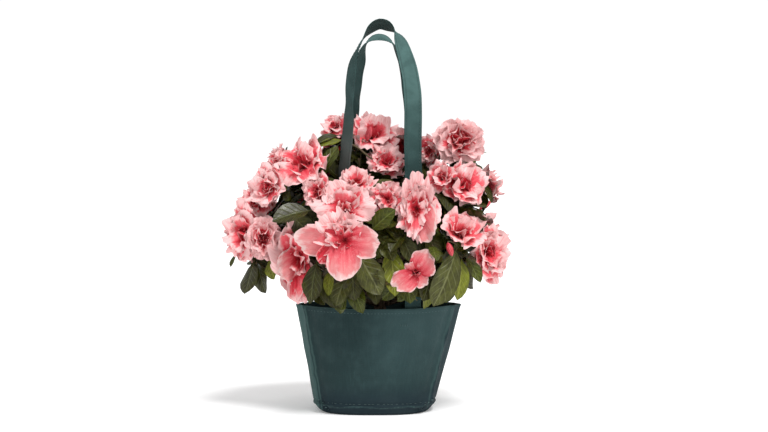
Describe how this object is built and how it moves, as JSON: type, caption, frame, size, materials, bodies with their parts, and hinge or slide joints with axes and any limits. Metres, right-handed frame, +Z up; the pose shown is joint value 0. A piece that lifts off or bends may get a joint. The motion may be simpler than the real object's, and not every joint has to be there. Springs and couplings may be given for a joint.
{
  "type": "azalea shrub in a carrier bag",
  "caption": "Flowering azalea shrub in a nursery pot, standing in a soft fabric carrier bag with upright strap handles; ruffled double blooms over dark oval leaves.",
  "frame": {"origin": "middle of the flat sole of the carrier bag, on the surface it stands on", "axes": "+Z up, -Y towards the bag's front panel, X across the bag"},
  "size_m": [0.2928, 0.2416, 0.3907],
  "materials": {
    "bag_cloth": "matt dark teal non-woven cloth with a fine embossed weave",
    "strap_cloth": "matt teal non-woven strap",
    "pot_plastic": "thin black moulded nursery pot",
    "potting_soil": "moist peat with fibres",
    "bark": "rough grey-brown bark",
    "flowering_foliage": "coral blooms with white frilled edges, dark green semi-gloss leaves"
  },
  "bodies": {
    "root": {"carrier_bag": "bag_cloth", "handle_front": "strap_cloth", "handle_rear": "strap_cloth", "nursery_pot": "pot_plastic", "potting_soil": "potting_soil", "main_stem": "bark", "bough_front_left": "bark", "bough_front_right": "bark", "bough_low_left": "bark", "bough_left": "bark", "bough_upper_left": "bark", "bough_top_left": "bark", "bough_upper_right": "bark", "bough_right_front": "bark", "bough_right": "bark", "bough_right_rear": "bark", "bough_rear_right": "bark", "bough_rear_left": "bark", "bough_left_rear": "bark", "bough_rear_top": "bark", "front_left_foliage": "flowering_foliage", "front_right_foliage": "flowering_foliage", "low_left_foliage": "flowering_foliage", "left_foliage": "flowering_foliage", "upper_left_foliage": "flowering_foliage", "top_left_foliage": "flowering_foliage", "top_centre_foliage": "flowering_foliage", "upper_right_foliage": "flowering_foliage", "right_front_foliage": "flowering_foliage", "right_foliage": "flowering_foliage", "right_rear_foliage": "flowering_foliage", "rear_right_foliage": "flowering_foliage", "rear_left_foliage": "flowering_foliage", "left_rear_foliage": "flowering_foliage", "rear_top_foliage": "flowering_foliage"}
  },
  "joints": []
}
